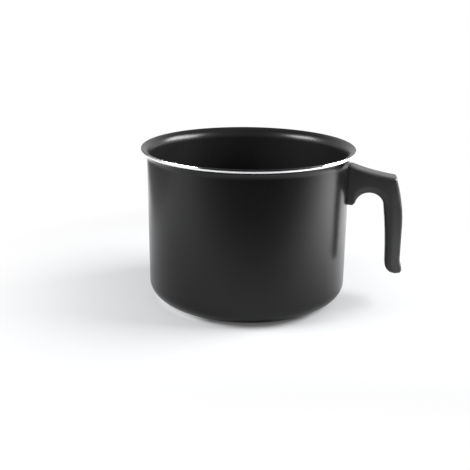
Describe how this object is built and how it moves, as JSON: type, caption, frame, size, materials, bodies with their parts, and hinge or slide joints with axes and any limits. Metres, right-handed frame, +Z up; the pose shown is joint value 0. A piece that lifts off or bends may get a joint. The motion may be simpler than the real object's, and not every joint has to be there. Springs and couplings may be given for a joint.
{
  "type": "milk pot",
  "caption": "Straight-sided aluminium milk pot with a flared rim, black coat and an open hook handle.",
  "frame": {"origin": "centre of the underside, in the plane that the pot stands on", "axes": "+Z up along the pot's axis, +X from the axis towards the handle"},
  "size_m": [0.1891, 0.153, 0.111],
  "materials": {
    "black_coated_aluminium": "satin",
    "black_phenolic": "satin",
    "bare_aluminium": "satin",
    "zinc_plated_steel": "satin",
    "spring_steel": "satin"
  },
  "bodies": {
    "root": {"pot_body": "black_coated_aluminium", "hook_handle": "black_phenolic", "handle_stud": "bare_aluminium", "handle_screw": "zinc_plated_steel", "lock_washer": "spring_steel"}
  },
  "joints": []
}
